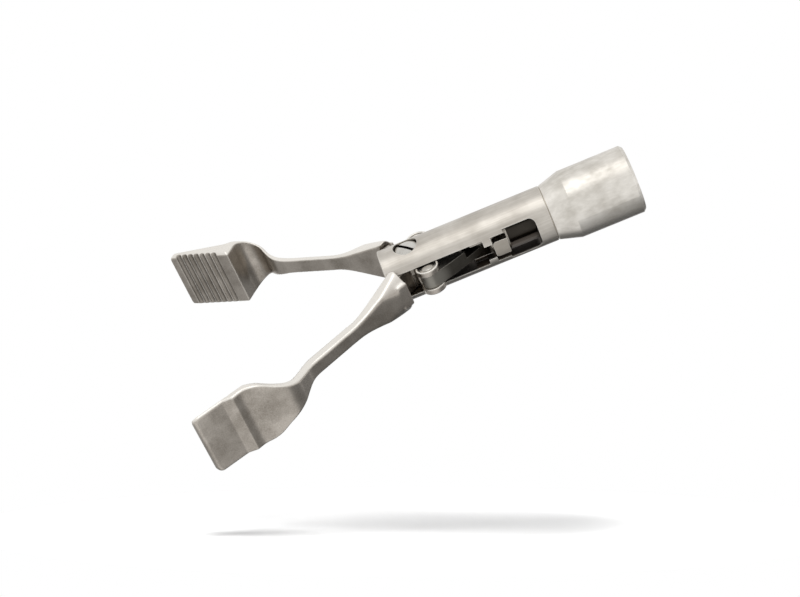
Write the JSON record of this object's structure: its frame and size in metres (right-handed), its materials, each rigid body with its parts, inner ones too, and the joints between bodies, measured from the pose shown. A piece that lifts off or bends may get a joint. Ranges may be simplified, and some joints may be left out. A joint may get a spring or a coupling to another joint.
{
  "type": "laparoscopic grasping forceps",
  "caption": "Working head of laparoscopic grasping forceps: crossing ribbed jaws on a slotted tube, closed by a pull rod through links, with a collar for the shaft.",
  "frame": {"origin": "centre of the collar's rear face, on the shaft axis", "axes": "+X along the shaft towards the jaws, +Z along the pivot screw towards its head, +Y towards the jaw with the thin tip plate"},
  "size_m": [0.0675, 0.0442, 0.01],
  "materials": {
    "satin_tube": "fine turned and satin brushed stainless steel",
    "brushed_collar": "blotchy hand-brushed stainless steel",
    "blasted_jaw": "bead-blasted stainless steel with bright edges",
    "dark_link": "dark bead-blasted stainless steel",
    "bright_screw": "polished stainless steel",
    "bright_head": "milled stainless steel",
    "ground_rod": "ground stainless steel",
    "bush_bronze": "plain sintered bronze"
  },
  "bodies": {
    "shaft_head": {"housing": "satin_tube", "collar": "brushed_collar", "pivot_screw": "bright_screw", "guide_bush": "bush_bronze"},
    "lower_jaw": {"lower_jaw": "blasted_jaw", "lower_tail_rivet": "bright_screw"},
    "upper_jaw": {"upper_jaw": "blasted_jaw", "upper_tail_rivet": "bright_screw"},
    "lower_link": {"lower_link": "dark_link"},
    "upper_link": {"upper_link": "dark_link"},
    "drive_rod": {"drive_head": "bright_head", "drive_pin": "bright_screw", "rod_cross_pin": "bright_screw", "pull_rod": "ground_rod"}
  },
  "joints": [
    {"name": "lower_jaw_pivot", "type": "hinge", "parent": "shaft_head", "child": "lower_jaw", "pos_m": [0.03331, 0, 0], "axis": [0, 0, 1], "range_deg": [-32, 0]},
    {"name": "upper_jaw_pivot", "type": "hinge", "parent": "shaft_head", "child": "upper_jaw", "pos_m": [0.03331, 0, 0], "axis": [0, 0, 1], "range_deg": [0, 32.01]},
    {"name": "rod_slide", "type": "slide", "parent": "shaft_head", "child": "drive_rod", "axis": [1, 0, 0], "range_m": [-0.00246, 0]},
    {"name": "lower_link_pivot", "type": "hinge", "parent": "lower_jaw", "child": "lower_link", "pos_m": [0.0315, -0.0039, 0], "axis": [0, 0, 1], "range_deg": [0, 42.3]},
    {"name": "upper_link_pivot", "type": "hinge", "parent": "upper_jaw", "child": "upper_link", "pos_m": [0.0315, 0.0039, 0], "axis": [0, 0, 1], "range_deg": [-42.3, 0]}
  ],
  "couplings": [
    {"joint": "upper_jaw_pivot", "follows": "lower_jaw_pivot", "ratio": -1},
    {"joint": "rod_slide", "follows": "lower_jaw_pivot", "m_per_rad": 0.0043914},
    {"joint": "lower_link_pivot", "follows": "lower_jaw_pivot", "ratio": -1.32},
    {"joint": "upper_link_pivot", "follows": "lower_jaw_pivot", "ratio": 1.32}
  ]
}
